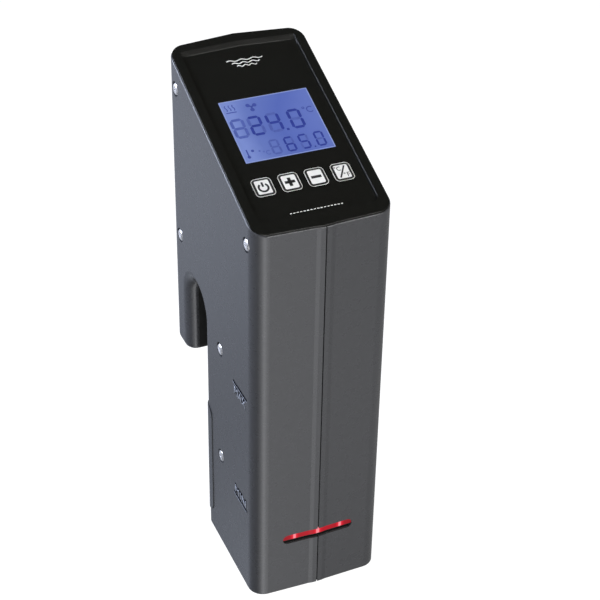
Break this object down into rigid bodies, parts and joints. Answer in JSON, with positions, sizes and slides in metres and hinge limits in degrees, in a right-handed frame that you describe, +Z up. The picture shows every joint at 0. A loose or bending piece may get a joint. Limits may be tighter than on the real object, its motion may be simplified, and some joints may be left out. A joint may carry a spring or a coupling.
{
  "type": "sous vide circulator",
  "caption": "Upright sous vide circulator with a hooked casing, a slanted panel with a lit display and keys, a rear leg with a screw clamp, and a removable rear cover.",
  "frame": {"origin": "middle of the column's footprint, on the plane that its base stands on", "axes": "+Z up along the column, +Y from the front to the clamp at the rear, +X to the right across the sides"},
  "size_m": [0.0842, 0.1785, 0.3112],
  "materials": {
    "casing_plastic": "satin moulded, fine grain, metallic grey",
    "cover_plastic": "satin moulded, metallic grey",
    "black_gloss": "semi-gloss black",
    "black_matte": "matte black",
    "display_plastic": "clear display window, blue-violet when lit",
    "lcd_stack": "liquid crystal cell",
    "backlight": "white light guide",
    "key_white": "white silicone-coated",
    "light_bar": "translucent red",
    "black_rubber": "black silicone rubber",
    "white_rubber": "silicone rubber",
    "steel": "stainless steel",
    "bright_steel": "bright plated steel",
    "board_green": "circuit board, green mask",
    "white_plastic": "heat-proof plastic",
    "brass": "turned brass",
    "aluminium": "extruded, finned",
    "iron": "laminated iron and copper winding",
    "can_blue": "sleeved can"
  },
  "bodies": {
    "casing": {"left_shell": "casing_plastic", "right_shell": "casing_plastic", "case_gasket": "black_rubber", "casing_screws": "bright_steel", "hook_liner": "black_matte", "base_plate": "black_matte", "base_screws": "steel", "panel_bezel": "black_gloss", "membrane_overlay": "black_gloss", "display_window": "display_plastic", "lcd_glass": "lcd_stack", "backlight_panel": "backlight", "tactile_switches": "black_matte", "control_board": "board_green", "board_spacers": "brass", "board_screws": "steel", "status_light_bar": "light_bar", "led_board": "board_green", "outlet_nozzle": "black_matte", "bulkhead_plate": "white_plastic", "bulkhead_gasket": "white_rubber", "bulkhead_glands": "brass", "shaft_seal": "black_rubber", "motor_housing": "steel", "motor_bearings": "bright_steel", "motor_stator": "iron", "motor_screws": "steel", "pump_housing": "white_plastic", "shaft_bushing": "brass", "pump_cover": "white_plastic", "pump_standoffs": "steel", "pump_screws": "steel", "heating_element": "steel", "heater_terminals": "brass", "temperature_probe": "steel", "float_stem": "steel", "float_clips": "steel", "power_board": "board_green", "board_pillars": "brass", "transformer": "iron", "capacitors": "can_blue", "heat_sink": "aluminium", "heater_triac": "black_matte", "mains_inlet": "black_matte", "inlet_pins": "brass", "clamp_nut": "brass"},
    "power_key": {"key_power": "key_white"},
    "minus_key": {"key_minus": "key_white"},
    "plus_key": {"key_plus": "key_white"},
    "units_key": {"key_units": "key_white"},
    "pump_rotor": {"pump_shaft": "steel", "impeller": "white_plastic", "cooling_fan": "black_matte", "motor_rotor": "iron"},
    "float": {"level_float": "white_plastic"},
    "cover": {"rear_cover": "cover_plastic"},
    "pad": {"clamp_pad": "black_matte", "pad_facing": "black_rubber"},
    "clamp_screw": {"clamp_spindle": "steel", "clamp_knob": "black_matte"}
  },
  "joints": [
    {"name": "power_key_press", "type": "slide", "parent": "casing", "child": "power_key", "axis": [0, 0.3482, -0.9374], "range_m": [0, 0.0004], "stiffness_N_per_m": 400, "springref_m": -0.0005},
    {"name": "minus_key_press", "type": "slide", "parent": "casing", "child": "minus_key", "axis": [0, 0.3482, -0.9374], "range_m": [0, 0.0004], "stiffness_N_per_m": 400, "springref_m": -0.0005},
    {"name": "plus_key_press", "type": "slide", "parent": "casing", "child": "plus_key", "axis": [0, 0.3482, -0.9374], "range_m": [0, 0.0004], "stiffness_N_per_m": 400, "springref_m": -0.0005},
    {"name": "units_key_press", "type": "slide", "parent": "casing", "child": "units_key", "axis": [0, 0.3482, -0.9374], "range_m": [0, 0.0004], "stiffness_N_per_m": 400, "springref_m": -0.0005},
    {"name": "pump_spin", "type": "hinge", "parent": "casing", "child": "pump_rotor", "pos_m": [0, -0.014, 0.03], "axis": [0, 0, 1], "continuous": true},
    {"name": "float_rise", "type": "slide", "parent": "casing", "child": "float", "axis": [0, 0, 1], "range_m": [0, 0.012]},
    {"name": "cover_pull", "type": "slide", "parent": "casing", "child": "cover", "axis": [0, 1, 0], "range_m": [0, 0.04]},
    {"name": "pad_travel", "type": "slide", "parent": "casing", "child": "pad", "axis": [0, -1, 0], "range_m": [0, 0.022]},
    {"name": "clamp_turn", "type": "hinge", "parent": "pad", "child": "clamp_screw", "pos_m": [0, 0.1205, 0.14], "axis": [0, -1, 0], "range_deg": [0, 1980]}
  ],
  "couplings": [
    {"joint": "pad_travel", "follows": "clamp_turn", "m_per_rad": 0.0006366}
  ]
}
